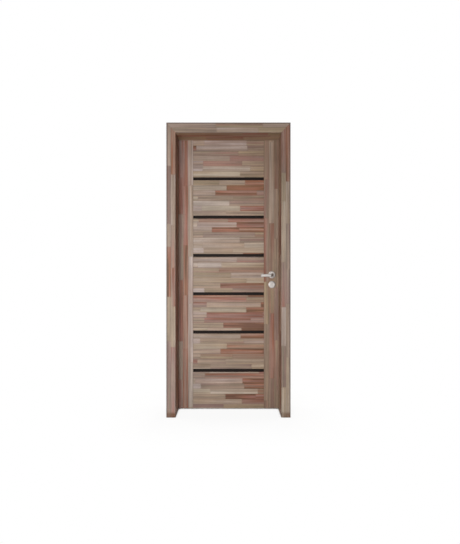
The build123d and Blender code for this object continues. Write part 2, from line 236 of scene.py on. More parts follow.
# %% Node group: stave tones
def paint(red, green, blue):
    """A colour written as on a screen, from 0 to 255, as the linear values that shaders use.

    The curve is the one that screens follow: a straight line near black, and a power above it.
    """
    linear = []
    for part in (red / 255, green / 255, blue / 255):
        linear.append(part / 12.92 if part <= 0.04045 else ((part + 0.055) / 1.055) ** 2.4)
    return (*linear, 1.0)


STAVE_TONES = (
    ("pale beige", 0.07, paint(180, 165, 153)),
    ("beige", 0.25, paint(167, 148, 134)),
    ("sand", 0.13, paint(162, 140, 121)),
    ("khaki", 0.09, paint(152, 135, 116)),
    ("taupe", 0.19, paint(148, 124, 111)),
    ("pink", 0.12, paint(155, 120, 106)),
    ("red brown", 0.08, paint(148, 99, 82)),
    ("brown", 0.05, paint(135, 97, 75)),
    ("dark brown", 0.02, paint(112, 80, 62)),
)
SHADE_SPAN = (0.88, 1.05)
DRIFT_NOISE = (0.25, 0.75)
DRIFT_REACH = 0.24
COOL = (1.01, 1.01, 1.115, 1.0)
GOLDEN = (1.01, 1.03, 0.945, 1.0)


def make_stave_tones():
    """The colour of one stave."""
    inputs = dict.fromkeys(("Tone", "Shade", "Hue", "Lean", "Drift"), "Float")
    tree, given, result = new_group("stave_tones", inputs, {"Color": "Color"})
    leaning = calc(tree, "POWER", given["Tone"], given["Lean"])
    drift = spread(tree, given["Drift"], *DRIFT_NOISE, -DRIFT_REACH, DRIFT_REACH)
    ramp = add(tree, "ValToRGB", {"Fac": calc(tree, "ADD", leaning, drift)})
    steps = ramp.color_ramp.elements
    steps.remove(steps[-1])
    start = 0.0
    for index, (name, share, colour) in enumerate(STAVE_TONES):
        step = steps[0] if index == 0 else steps.new(start + share / 2)
        step.color = colour
        start += share
    shade = spread(tree, given["Shade"], 0.0, 1.0, *SHADE_SPAN)
    shaded = lay_over(tree, 1.0, ramp.outputs["Color"], shade, "MULTIPLY")
    tint = lay_over(tree, given["Hue"], COOL, GOLDEN)
    feed(tree, result["Color"], lay_over(tree, 1.0, shaded, tint, "MULTIPLY"))
    return tree


stave_tones = make_stave_tones()
print("stave tones:", ", ".join(name for name, share, colour in STAVE_TONES))

# %% [markdown]
# ## Grain and pores
# Along a stave the grain runs in long streaks with short dark pores between. Both are noise read at a place
# that is stretched along the board, and each stave reads it at a depth of its own, so the grain stops at
# every joint. The noise is three-dimensional, which carries the streaks round the edges of a board as real
# growth does.

# %% Node group: wood grain
# How often each kind of mark comes in a metre, along the grain and across it.
DRIFTS = (2.0, 45.0)
STREAKS = (1.8, 62.0)
FIBRES = (14.0, 650.0)
PORES = (45.0, 1500.0)
PORE_EDGE = (0.68, 0.76)
STAVE_DEPTH = 40.0


def make_wood_grain():
    """Drift is a change of tone, Streak the figure, Fibre the fine grain, and Pore a mask of short dashes."""
    inputs = dict.fromkeys(("Along", "Across", "Depth", "Shift"), "Float")
    outputs = dict.fromkeys(("Drift", "Streak", "Fibre", "Pore"), "Float")
    tree, given, result = new_group("wood_grain", inputs, outputs)
    moved = calc(tree, "MULTIPLY_ADD", given["Shift"], STAVE_DEPTH, given["Depth"])

    def stretched(scales):
        along, across = scales
        return point(tree, calc(tree, "MULTIPLY", given["Along"], along),
                     calc(tree, "MULTIPLY", given["Across"], across),
                     calc(tree, "MULTIPLY", moved, across))

    feed(tree, result["Drift"], noise(tree, stretched(DRIFTS), detail=1.0))
    feed(tree, result["Streak"], noise(tree, stretched(STREAKS), detail=3.0, roughness=0.6))
    feed(tree, result["Fibre"], noise(tree, stretched(FIBRES), detail=1.0))
    feed(tree, result["Pore"], spread(tree, noise(tree, stretched(PORES), detail=0.0), *PORE_EDGE))
    return tree


wood_grain = make_wood_grain()
print("wood grain nodes:", len(wood_grain.nodes))

# %% [markdown]
# ## Worn arrises and handled faces
# Hands, weather and cleaning mark every piece in the same places: along its edges, and in faint clouds over
# its faces. The Bevel node gives the normal that a rounded edge would have, so where it turns away from the
# true normal there is an edge. A fine cloud of noise breaks that line up, and a broad one serves as the
# handling marks.

# %% Node group: wear
WEAR_RADIUS = 3 * MM
EDGE_AGREEMENT = (0.80, 0.98)
WEAR_CLOUD = 35.0
WEAR_NOISE = (0.35, 0.65)
WEAR_LEAST = 0.35
HANDLING_CLOUD = 6.0


def make_wear():
    """Edge marks the arrises, broken up by noise. Handling is a broad soft cloud."""
    tree, given, result = new_group("wear", {"Place": "Vector"}, {"Edge": "Float", "Handling": "Float"})

    def cloud(scale, detail):
        place = add(tree, "VectorMath", {0: given["Place"], "Scale": scale}, operation="SCALE")
        return noise(tree, place.outputs["Vector"], detail)

    rounded = add(tree, "Bevel", {"Radius": WEAR_RADIUS}, samples=4).outputs["Normal"]
    true_normal = tree.nodes.new("ShaderNodeNewGeometry").outputs["Normal"]
    agreement = add(tree, "VectorMath", {0: rounded, 1: true_normal}, operation="DOT_PRODUCT")
    edge = spread(tree, agreement.outputs["Value"], *EDGE_AGREEMENT, 1.0, 0.0)
    broken = spread(tree, cloud(WEAR_CLOUD, detail=2.0), *WEAR_NOISE, WEAR_LEAST, 1.0)
    feed(tree, result["Edge"], calc(tree, "MULTIPLY", edge, broken))
    feed(tree, result["Handling"], cloud(HANDLING_CLOUD, detail=3.0))
    return tree


wear = make_wear()
print("wear nodes:", len(wear.nodes))

# %% [markdown]
# ## Starting a material
# Every finish on the door is one Principled shader, which covers wood, stain and steel with the same set of
# sockets. What changes over the surface is read at a place in the door's own frame. Object coordinates give
# that place, and they stay with a board when the leaf swings. Fine relief is bump: it turns the light on the
# surface without moving it, which is enough for pores and brushing.

# %% Helpers that start a material
def new_material(title):
    """A material with an empty graph that ends in one Principled shader."""
    material = bpy.data.materials.new(title)
    material.use_nodes = True
    tree = material.node_tree
    tree.nodes.clear()
    shader = tree.nodes.new("ShaderNodeBsdfPrincipled")
    output = tree.nodes.new("ShaderNodeOutputMaterial")
    tree.links.new(shader.outputs["BSDF"], output.inputs["Surface"])
    return material, tree, shader


def object_place(tree):
    """A point's place in the door's own frame, that place in three parts, and the way the face looks."""
    place = tree.nodes.new("ShaderNodeTexCoord")
    parts = add(tree, "SeparateXYZ", {"Vector": place.outputs["Object"]}).outputs
    facing = add(tree, "SeparateXYZ", {"Vector": place.outputs["Normal"]}).outputs
    return place.outputs["Object"], parts, facing


def raise_surface(tree, shader, height, strength, distance):
    """Let a height turn the light on the surface."""
    bump = add(tree, "Bump", {"Height": height, "Strength": strength, "Distance": distance})
    feed(tree, shader.inputs["Normal"], bump.outputs["Normal"])


def finish(material, *names):
    """Put a material in the slot of each named piece."""
    for name in names:
        nodes[name].data.materials[0] = material


print("material helpers ready")

# %% [markdown]
# ## Painted edge shade and damp
# Two marks come from where a board is. Along a casing's outer edge a band of painted shade darkens the wood,
# where the rounded arris turns from the light, and a faint painted shade lies over the rest of its face. Where
# a board stands on the floor, its foot draws up water and darkens. Both are masks made from distances, and the
# handling cloud keeps them patchy.

# %% Masks of painted edge shade and damp
# Nearly all of the noise lies in this span.
NOISE_SPAN = (0.3, 0.7)
PATCHY = (0.7, 1.0)
# Painted shade: full along a casing's outer edge, fading to a faint share over the rest of its face.
EDGE_SHADE_FULL = 4 * MM
EDGE_SHADE_REACH = 12 * MM
EDGE_SHADE_MOST = 0.95
FACE_SHADE = 0.08
FACE_SPAN = (0.1, 0.5)
DAMP_FULL = 26 * MM
DAMP_REACH = 46 * MM
DAMP_MOST = 0.75


def painted_edge_shade(tree, parts, facing, cloud, low, high):
    """Painted shade on a face along the two sides and the top of a box, and faint painted shade between, in
    clouds.
    """
    to_sides = []
    for axis, edge in (("X", low.x), ("X", high.x), ("Z", high.z)):
        to_sides.append(calc(tree, "ABSOLUTE", calc(tree, "SUBTRACT", parts[axis], edge)))
    nearest = calc(tree, "MINIMUM", calc(tree, "MINIMUM", to_sides[0], to_sides[1]), to_sides[2])
    thick = spread(tree, nearest, EDGE_SHADE_FULL, EDGE_SHADE_REACH, EDGE_SHADE_MOST, FACE_SHADE)
    on_face = spread(tree, calc(tree, "ABSOLUTE", facing["Y"]), *FACE_SPAN)
    cloudy = calc(tree, "MULTIPLY", thick, spread(tree, cloud, *NOISE_SPAN, *PATCHY))
    return calc(tree, "MULTIPLY", cloudy, on_face)


def damp_foot(tree, parts, cloud):
    """Damp that has risen from the floor, in clouds."""
    wet = spread(tree, parts["Z"], DAMP_FULL, DAMP_REACH, DAMP_MOST, 0.0)
    return calc(tree, "MULTIPLY", wet, spread(tree, cloud, *NOISE_SPAN, *PATCHY))


print("painted edge shade reaches", round(EDGE_SHADE_REACH / MM), "mm and damp", round(DAMP_REACH / MM), "mm")

# %% [markdown]
# ## Fresh wood
# The colour of a board is built up as the wood itself is: first the stave's own tone, then streaks and faint
# clouds that darken or lighten it, then thin dark marks for pores, stained sides and glue lines, and dark
# arrises that are partly dirt on worn edges and partly painted shade.
# A lean above 1 deals paler staves and one below 1 redder ones. It can be the same for a whole board, have
# one value for each row by a stepped ramp, or change along the board.

# %% The colour of fresh staves
STREAK_SPAN = (0.68, 1.20)
CLOUD_SPAN = (0.90, 1.10)
GLUE_BROWN = paint(84, 60, 48)
# Dark arrises: partly dirt on worn edges, partly painted shade.
EDGE_DIRT_AND_SHADE = paint(104, 80, 66)
PORE_DARK = 0.4
SIDE_DARK = 0.42
GLUE_DARK = 0.6
EDGE_DARK = 0.3
MOST_LEAN = 4.0
leaf_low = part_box("stile_hinge_side")[0]
leaf_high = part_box("stile_lock_side")[1]


def lean_by_row(tree, rows, leans):
    """One lean for each row in turn, by a stepped grey ramp that goes up to the most a lean can be."""
    ramp = add(tree, "ValToRGB", {"Fac": calc(tree, "DIVIDE", rows, len(leans))})
    ramp.color_ramp.interpolation = "CONSTANT"
    steps = ramp.color_ramp.elements
    steps.remove(steps[-1])
    for index, lean in enumerate(leans):
        step = steps[0] if index == 0 else steps.new(index / len(leans))
        grey = lean / MOST_LEAN
        step.color = (grey, grey, grey, 1.0)
    return calc(tree, "MULTIPLY", ramp.outputs["Color"], MOST_LEAN)


def lean_along(tree, middle_of_stave, sweep):
    """A lean that changes from the leaf's hinge side to its lock side."""
    return spread(tree, middle_of_stave, leaf_low.x, leaf_high.x, *sweep)


def fresh_wood(tree, staves, grain, marks, lean, deal):
    """The colour of the staves with their grain, pores, glue lines, and arrises darkened by dirt and painted
    shade.
    """
    dealt = spread(tree, staves["Tone"], 0.0, 1.0, *deal)
    colour = place_group(tree, stave_tones, Tone=dealt, Shade=staves["Shade"], Hue=staves["Shift"],
                         Lean=lean, Drift=grain["Drift"])["Color"]
    for cloud, span in ((grain["Streak"], STREAK_SPAN), (marks["Handling"], CLOUD_SPAN)):
        colour = lay_over(tree, 1.0, colour, spread(tree, cloud, *NOISE_SPAN, *span), "MULTIPLY")
    for mask, strength, brown in ((grain["Pore"], PORE_DARK, GLUE_BROWN),
                                  (staves["Side"], SIDE_DARK, GLUE_BROWN),
                                  (staves["Joint"], GLUE_DARK, GLUE_BROWN),
                                  # On wood the darkened arrises are partly dirt and partly painted shade.
                                  (marks["Edge"], EDGE_DARK, EDGE_DIRT_AND_SHADE)):
        colour = lay_over(tree, calc(tree, "MULTIPLY", mask, strength), colour, brown)
    return colour


print("leaf from", round(leaf_low.x, 4), "to", round(leaf_high.x, 4), "m")

# %% [markdown]
# ## A laminated board
# Every varnished piece is the same recipe with other numbers: which way the staves run, where the first row
# starts, how wide a stave is, and a seed that deals the tones. A clear satin varnish lies over the wood, so
# the coat is thin and not very smooth, and the bump is only as deep as open pores and glue lines are. Cut
# ends drink more varnish and look darker. A brown painted shade darkens the linings, where the deep reveals
# and the soffit lie in shade, and the lock side of the leaf, where the light falls off, so each board also
# says how much painted shade it has at its hinge side and at its lock side.

# %% Material: laminated board
STAVE_LENGTH = 330 * MM
WHOLE_DEAL = (0.0, 1.0)
NO_SHADE = (0.0, 0.0)
# The brown that painted shade multiplies in.
SHADE_BROWN = (0.78, 0.66, 0.54, 1.0)
END_GRAIN = paint(112, 82, 66)
END_FACING = (0.7, 0.9)
END_DARK = 0.65
# The colour of the painted shade along a casing's outer edge.
EDGE_SHADE = paint(74, 66, 63)
DAMP_BROWN = paint(98, 70, 52)
VARNISH_ROUGH = 0.50
HANDLING_ROUGH = 0.14
FIBRE_ROUGH = 0.12
VARNISH_SPECULAR = 0.28
COAT_WEIGHT = 0.03
COAT_ROUGH = 0.45
WOOD_BUMP = 0.25 * MM
WOOD_BUMP_STRENGTH = 0.5


def varnish(tree, shader, staves, grain, marks):
    """A thin satin coat, under which fibres, pores and glue lines can just be felt."""
    rubbed = calc(tree, "MULTIPLY_ADD", marks["Handling"], HANDLING_ROUGH, VARNISH_ROUGH)
    feed(tree, shader.inputs["Roughness"], calc(tree, "MULTIPLY_ADD", grain["Fibre"], FIBRE_ROUGH, rubbed))
    shader.inputs["Specular IOR Level"].default_value = VARNISH_SPECULAR
    shader.inputs["Coat Weight"].default_value = COAT_WEIGHT
    shader.inputs["Coat Roughness"].default_value = COAT_ROUGH
    sunk = calc(tree, "ADD", grain["Pore"], staves["Joint"])
    raised = calc(tree, "SUBTRACT", grain["Fibre"], sunk)
    raise_surface(tree, shader, raised, WOOD_BUMP_STRENGTH, WOOD_BUMP)


def board_wood(title, along, across, start, width, seed, leans=(1.0,), length=STAVE_LENGTH, sweep=None,
               deal=WHOLE_DEAL, painted_shade=NO_SHADE, outline=None, on_floor=False):
    """Staves that run along one axis and lie side by side along another, from a starting edge on.

    A sweep takes the place of the leans. A narrower deal leaves out the palest and the darkest staves. The
    painted shade is how strong a brown painted shade is at the hinge side and at the lock side, and an outline
    is the box along whose outer edge shade is painted, and faintly over its face too. A board on the floor has
    a damp foot.
    """
    material, tree, shader = new_material(title)
    place, parts, facing = object_place(tree)
    through = ({"X", "Y", "Z"} - {along, across}).pop()
    from_start = calc(tree, "SUBTRACT", parts[across], start)
    staves = place_group(tree, stave_layout, Along=parts[along], Across=from_start, Width=width,
                         Length=length, Seed=seed)
    grain = place_group(tree, wood_grain, Along=parts[along], Across=parts[across], Depth=parts[through],
                        Shift=staves["Shift"])
    marks = place_group(tree, wear, Place=place)
    lean = leans[0]
    if len(leans) > 1:
        lean = lean_by_row(tree, calc(tree, "DIVIDE", from_start, width), leans)
    if sweep:
        lean = lean_along(tree, staves["Middle"], sweep)
    colour = fresh_wood(tree, staves, grain, marks, lean, deal)
    end_face = spread(tree, calc(tree, "ABSOLUTE", facing[along]), *END_FACING, 0.0, END_DARK)
    colour = lay_over(tree, end_face, colour, END_GRAIN)
    # A brown painted shade, graded from the hinge side to the lock side.
    if any(painted_shade):
        shade_amount = spread(tree, parts["X"], leaf_low.x, leaf_high.x, *painted_shade)
        colour = lay_over(tree, shade_amount, colour, SHADE_BROWN, "MULTIPLY")
    # Painted shade along the casing's outer edge, and faintly over its face.
    if outline:
        colour = lay_over(tree, painted_edge_shade(tree, parts, facing, marks["Handling"], *outline), colour, EDGE_SHADE)
    if on_floor:
        colour = lay_over(tree, damp_foot(tree, parts, marks["Handling"]), colour, DAMP_BROWN)
    feed(tree, shader.inputs["Base Color"], colour)
    varnish(tree, shader, staves, grain, marks)
    return material


print("board recipe ready, staves about", round(STAVE_LENGTH / MM), "mm long")

# %% [markdown]
# ## Casings
# The casing is the flat surround that hides the joint between frame and wall. Each leg is two staves wide and
# so is the head, and the boards meet in mitres. The first row starts at an edge of the board, read from the
# piece's own box, so the glue line runs down the middle of the board as on the real one. A seed is only a
# number to try. Thirty were rendered for each board that the photograph shows, and the one that looked
# nearest to it was kept.

# %% Finish the casings
CASING_STAVES = 2
SORTED_DEAL = (0.15, 0.85)
CASING_SEEDS = {"left": 129.0, "right": 201.0, "head": 312.0}
FACE_SEEDS = {"front": 0.0, "rear": 40.0}
CASING_LEANS = {"left": (1.05, 1.1), "right": (1.3, 0.95), "head": (1.05, 1.3)}


def stave_rows(name, across, count):
    """Where the first row of a board starts, and how wide each of its rows is."""
    low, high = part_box(name)
    axis = "XYZ".index(across)
    return low[axis], (high[axis] - low[axis]) / count


for face, face_seed in FACE_SEEDS.items():
    # The box along whose outer edge shade is painted.
    outline = (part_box(f"{face}_casing_left")[0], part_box(f"{face}_casing_right")[1])
    for place, seed in CASING_SEEDS.items():
        name = f"{face}_casing_{place}"
        along, across = ("X", "Z") if place == "head" else ("Z", "X")
        start, width = stave_rows(name, across, CASING_STAVES)
        wood = board_wood(f"{name}_wood", along, across, start, width, seed + face_seed, CASING_LEANS[place],
                          deal=SORTED_DEAL, outline=outline, on_floor=place != "head")
        finish(wood, name)
        print(name, "staves", round(width / MM, 1), "mm wide")

# %% [markdown]
# ## Jambs, head and stops
# The lining boards run through the depth of the wall, so their staves lie side by side along Y. The stop
# boards in front of the leaf are what shows as the deep reveal. They lean to the redder, darker staves, and
# all the linings carry a brown painted shade, strongest on the soffit; both darken the reveals as shade does.

# %% Finish the jambs, the head and the stops
# For each board the way its staves run, how many lie side by side, its seed and its lean.
LINING_BOARDS = {
    "jamb_hinge_side": ("Z", 5, 61.0, 0.8),
    "jamb_lock_side": ("Z", 5, 67.0, 0.8),
    "head_jamb": ("X", 5, 71.0, 0.8),
    "stop_hinge_side": ("Z", 4, 1420.0, 0.35),
    "stop_lock_side": ("Z", 4, 1513.0, 0.35),
    "stop_head": ("X", 4, 1619.0, 0.36),
}
# Painted shade on the linings: it darkens the reveals, and the soffit most.
LINING_SHADE = {"Z": (0.75, 0.68), "X": (0.95, 0.85)}
for name, (along, count, seed, lean) in LINING_BOARDS.items():
    start, width = stave_rows(name, "Y", count)
    wood = board_wood(f"{name}_wood", along, "Y", start, width, seed, (lean,), painted_shade=LINING_SHADE[along],
                      on_floor=along == "Z")
    finish(wood, name)
print("lining boards finished:", len(LINING_BOARDS))

# %% [markdown]
# ## The leaf
# Two upright stiles of three staves each hold seven flush panels, whose staves lie level. The panels are cut
# from wide boards with no regard to the rows, so each one gets a seed of its own and starts with part of a
# row. Towards the lock side their staves get redder, and a brown painted shade darkens that side, where the
# light falls off.

# %% Finish the stiles and the panels
STILE_STAVES = 3
STILE_STAVE_LENGTH = 420 * MM
# For each stile its seed, and a lean for each of its staves from the hinge side on.
STILES = {
    "stile_hinge_side": (1225.0, (0.72, 0.28, 2.9)),
    "stile_lock_side": (1328.0, (0.5, 0.95, 0.5)),
}
PANEL_ROW = 39 * MM
# For each panel from the bottom up its seed, and the share of its lowest row that is cut away.
PANELS = (
    (507.0, 0.2),
    (627.0, 0.05),
    (701.0, 0.45),
    (827.0, 0.2),
    (917.0, 0.8),
    (1003.0, 0.1),
    (1116.0, 0.85),
)
PANEL_SWEEP = (1.6, 0.5)
# Painted shade on the leaf, stronger towards the lock side, where the light falls off.
LEAF_SHADE = (0.0, 0.45)
for name, (seed, leans) in STILES.items():
    start, width = stave_rows(name, "X", STILE_STAVES)
    wood = board_wood(f"{name}_wood", "Z", "X", start, width, seed, leans, length=STILE_STAVE_LENGTH,
                      deal=SORTED_DEAL, painted_shade=LEAF_SHADE)
    finish(wood, name)
for index, (seed, cut_away) in enumerate(PANELS, start=1):
    name = f"panel_{index}"
    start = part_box(name)[0].z - cut_away * PANEL_ROW
    wood = board_wood(f"{name}_wood", "X", "Z", start, PANEL_ROW, seed, sweep=PANEL_SWEEP, painted_shade=LEAF_SHADE)
    finish(wood, name)
print("leaf boards finished:", len(STILES) + len(PANELS))

# %% [markdown]
# ## Dark strips
# Six strips of near-black stained wood part the panels. Under the stain the grain shows only as a faint
# change of sheen, so the same grain group feeds the roughness and the bump, and hardly the colour.

# %% Finish the dark strips
STRIPS = [f"dark_strip_{index}" for index in range(1, len(PANELS))]
STAIN = paint(22, 15, 12)
STAIN_WORN = paint(38, 29, 24)
STAIN_SHIFT = 0.5
STAIN_STREAK = (0.45, 0.75)
STAIN_OPEN = 0.5
STAIN_FIBRE = (0.2, 0.8)
STAIN_ROUGH = (0.5, 0.7)
STAIN_SPECULAR = 0.10
STAIN_BUMP_STRENGTH = 0.4


def stained_wood(title):
    """Near-black stain over level grain."""
    material, tree, shader = new_material(title)
    place, parts, facing = object_place(tree)
    grain = place_group(tree, wood_grain, Along=parts["X"], Across=parts["Z"], Depth=parts["Y"],
                        Shift=STAIN_SHIFT)
    marks = place_group(tree, wear, Place=place)
    open_grain = spread(tree, grain["Streak"], *STAIN_STREAK, 0.0, STAIN_OPEN)
    colour = lay_over(tree, open_grain, STAIN, STAIN_WORN)
    feed(tree, shader.inputs["Base Color"], lay_over(tree, marks["Edge"], colour, STAIN_WORN))
    feed(tree, shader.inputs["Roughness"], spread(tree, grain["Fibre"], *STAIN_FIBRE, *STAIN_ROUGH))
    shader.inputs["Specular IOR Level"].default_value = STAIN_SPECULAR
    raise_surface(tree, shader, grain["Fibre"], STAIN_BUMP_STRENGTH, WOOD_BUMP)
    return material


finish(stained_wood("dark_strip_wood"), *STRIPS)
print("dark strips finished:", len(STRIPS))

# %% [markdown]
# ## Brushed lines
# Levers, roses, hinges and lock are satin-brushed steel. Brushing leaves fine parallel lines that spread the
# reflections across them. An anisotropic shader could do that too, but with no lines to see from close by. So
# the lines are noise squeezed in one direction, in a group that all the steel shares.

# %% Node group: brushed lines
BRUSH_ALONG = 18.0
BRUSH_ACROSS = 2600.0


def make_brushed():
    """Fine lines across the brushing direction."""
    tree, given, result = new_group("brushed", {"Along": "Float", "Across": "Float"}, {"Line": "Float"})
    stretched = point(tree, calc(tree, "MULTIPLY", given["Along"], BRUSH_ALONG),
                      calc(tree, "MULTIPLY", given["Across"], BRUSH_ACROSS), 0.0)
    feed(tree, result["Line"], noise(tree, stretched, detail=2.0, roughness=0.7))
    return tree


brushed = make_brushed()
print("brushed nodes:", len(brushed.nodes))

# %% [markdown]
# ## Satin steel
# The lines run along the bar on the lever, in rings on the turned covers, and upright on the flat plates. One
# recipe serves them all: each finish only says which two numbers run along and across. A quarter of the steel
# stays non-metallic, so that the lamps light it even where it mirrors nothing bright.

# %% Material: brushed steel
STEEL = paint(180, 175, 171)
STEEL_DULL = paint(150, 145, 141)
DULL_LINES = 0.6
STEEL_ROUGH = 0.38
STEEL_HANDLING = 0.12
STEEL_LINES = 0.14
STEEL_METALLIC = 0.75
STEEL_BUMP = 0.02 * MM
STEEL_BUMP_STRENGTH = 0.4


def satin_metal(title, direction):
    """Brushed steel. The direction is a function that gives the numbers along and across the lines."""
    material, tree, shader = new_material(title)
    place, parts, facing = object_place(tree)
    along, across = direction(tree, parts)
    line = place_group(tree, brushed, Along=along, Across=across)["Line"]
    marks = place_group(tree, wear, Place=place)
    colour = lay_over(tree, spread(tree, line, *NOISE_SPAN, 0.0, DULL_LINES), STEEL, STEEL_DULL)
    feed(tree, shader.inputs["Base Color"], lay_over(tree, marks["Edge"], colour, STEEL))
    rubbed = calc(tree, "MULTIPLY_ADD", marks["Handling"], STEEL_HANDLING, STEEL_ROUGH)
    feed(tree, shader.inputs["Roughness"], calc(tree, "MULTIPLY_ADD", line, STEEL_LINES, rubbed))
    shader.inputs["Metallic"].default_value = STEEL_METALLIC
    raise_surface(tree, shader, line, STEEL_BUMP_STRENGTH, STEEL_BUMP)
    return material


def along_bar(tree, parts):
    """Lines along the lever's bar."""
    return parts["X"], calc(tree, "ADD", parts["Y"], parts["Z"])


def upright_lines(tree, parts):
    """Lines up and down a plate."""
    return parts["Z"], calc(tree, "ADD", parts["X"], parts["Y"])


def rings_round(centre):
    """Lines in rings round an axis that runs through the leaf."""
    def direction(tree, parts):
        across = calc(tree, "SUBTRACT", parts["X"], centre.x)
        up = calc(tree, "SUBTRACT", parts["Z"], centre.z)
        return calc(tree, "ARCTAN2", up, across), length_of(tree, point(tree, across, up, 0.0))
    return direction


print("steel recipe ready")

# %% [markdown]
# ## The metal pieces
# A cover and its twin on the other side share one finish, because their rings go round the same axis through
# the leaf. The axis is read from the middle of the front cover's box, so the rings stay centred wherever the
# lock sits.

# %% Finish the metal pieces
HINGES = ("bottom", "middle", "top")
SIDES = ("front", "rear")


def middle(name):
    """The middle of a piece's box."""
    low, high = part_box(name)
    return (low + high) / 2


rose_centre = middle("rose_front")
escutcheon_centre = middle("escutcheon_front")
lever_metal = satin_metal("lever_satin_metal", along_bar)
rose_metal = satin_metal("rose_satin_metal", rings_round(rose_centre))
escutcheon_metal = satin_metal("escutcheon_satin_metal", rings_round(escutcheon_centre))
plate_metal = satin_metal("plate_satin_metal", upright_lines)
for side in SIDES:
    finish(lever_metal, f"lever_{side}")
    finish(rose_metal, f"rose_{side}")
    finish(escutcheon_metal, f"escutcheon_{side}")
finish(lever_metal, "spindle")
finish(plate_metal, "strike_plate", "mortise_lock", "lock_cylinder")
for level in HINGES:
    finish(plate_metal, f"{level}_hinge_frame_plate", f"{level}_hinge_leaf_plate")
print("rose centre", [round(value, 4) for value in rose_centre])

# %% [markdown]
# ## Turned pieces
# Rings, collars and the tips of hinge pins are turned on a lathe, so a lathe is how they are made here: a
# short profile of radius and height is swept round an axis. Each piece rides on a body of the door, so it
# moves when the leaf or the lever does.

# %% Helpers that turn pieces
TURN_STEPS = 40
SHARP_ANGLE = math.radians(35)


def ring_of(mesh, radius, height):
    """A ring of points round the turning axis."""
    points = []
    for step in range(TURN_STEPS):
        angle = 2 * math.pi * step / TURN_STEPS
        points.append(mesh.verts.new((radius * math.cos(angle), radius * math.sin(angle), height)))
    return points


def join_rings(mesh, lower, upper):
    """A band of faces between two rings with the same number of points."""
    for index in range(len(lower)):
        after = (index + 1) % len(lower)
        mesh.faces.new((lower[index], lower[after], upper[after], upper[index]))


def turn(mesh, profile, matrix, hollow=True):
    """Sweep a profile, written in millimetres, round the axis, then set the piece in place.

    The profile of a hollow piece closes on itself. A solid one gets a face at each end instead.
    """
    rings = [ring_of(mesh, radius * MM, height * MM) for radius, height in profile]
    for lower, upper in zip(rings, rings[1:]):
        join_rings(mesh, lower, upper)
    if hollow:
        join_rings(mesh, rings[-1], rings[0])
    else:
        mesh.faces.new(rings[0])
        mesh.faces.new(rings[-1])
    bmesh.ops.transform(mesh, matrix=matrix, verts=[vert for ring in rings for vert in ring])


def facing_along(place, direction):
    """A placement whose own upward axis points along a direction."""
    return Matrix.Translation(place) @ Vector(direction).to_track_quat("Z", "Y").to_matrix().to_4x4()


def add_piece(title, mesh, body, material):
    """Turn a finished mesh into a piece that rides on a body and wears the metal it is given."""
    bmesh.ops.recalc_face_normals(mesh, faces=mesh.faces)
    data = bpy.data.meshes.new(title)
    mesh.to_mesh(data)
    mesh.free()
    data.materials.append(material)
    data.shade_smooth()
    data.set_sharp_from_angle(angle=SHARP_ANGLE)
    piece = bpy.data.objects.new(title, data)
    bpy.context.scene.collection.objects.link(piece)
    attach(piece, body)
    print(title, "triangles", sum(len(face.vertices) - 2 for face in data.polygons))


print("turning helpers ready, steps round:", TURN_STEPS)

# %% [markdown]
# ## Screw heads
# A countersunk screw lies nearly flush, and a crossed recess takes the driver. The recess is bridged into the
# head with walls of its own, because a painted cross would show as flat from the side.

# %% A countersunk screw head with a crossed recess
HEAD_RIM = 0.25 * MM
HEAD_CROWN = 0.12 * MM
RECESS_DEPTH = 1.2 * MM
# Shares of the head's radius, and how far the recess narrows towards its floor.
RECESS_REACH = 0.55
RECESS_HALF_WIDTH = 0.13
RECESS_TAPER = 0.8


def cross_outline(reach, half):
    """The twelve corners of an upright cross, in order."""
    quarter = ((reach, -half), (reach, half), (half, half))
    corners = []
    for turns in range(4):
        cosine = round(math.cos(turns * math.pi / 2))
        sine = round(math.sin(turns * math.pi / 2))
        corners += [(x * cosine - y * sine, x * sine + y * cosine) for x, y in quarter]
    return corners


def screw_head(mesh, radius, place, direction):
    """A flush screw head at a place, its recess facing a direction."""
    foot = ring_of(mesh, radius, 0.0)
    rim = ring_of(mesh, radius - HEAD_RIM, HEAD_CROWN)
    join_rings(mesh, foot, rim)
    corners = cross_outline(radius * RECESS_REACH, radius * RECESS_HALF_WIDTH)
    mouth = [mesh.verts.new((x, y, HEAD_CROWN)) for x, y in corners]
    recess_floor = HEAD_CROWN - RECESS_DEPTH
    floor = [mesh.verts.new((x * RECESS_TAPER, y * RECESS_TAPER, recess_floor)) for x, y in corners]
    join_rings(mesh, floor, mouth)
    mesh.faces.new(floor)
    loops = []
    for loop in (rim, mouth):
        for index in range(len(loop)):
            pair = (loop[index], loop[(index + 1) % len(loop)])
            loops.append(mesh.edges.get(pair))
    bmesh.ops.bridge_loops(mesh, edges=loops)
    bmesh.ops.transform(mesh, matrix=facing_along(place, direction), verts=foot + rim + mouth + floor)


print("screw recipe ready")

# %% [markdown]
# ## Screws in hinges, faceplate and strike plate
# Each hinge plate is held by three countersunk screws in a staggered line, and the lock's faceplate and the
# strike plate by one near each end. A smaller one in the faceplate holds the cylinder. They show only when
# the door stands open. Their places are measured from the plates.

# %% Fit the screws
HINGE_SCREW = 4.2 * MM
HINGE_SCREW_STEP = 34 * MM
HINGE_SCREW_STAGGER = 5 * MM
PLATE_DEPTH = 30 * MM
PLATE_SCREW = 3.6 * MM
PLATE_SCREW_INSET = 9 * MM
FIXING_SCREW = 2.6 * MM
# The faceplate lies behind the ends of the bolts, and the key plug above the escutcheon's middle.
FACEPLATE_SUNK = 1.5 * MM
KEY_RISE = 3 * MM


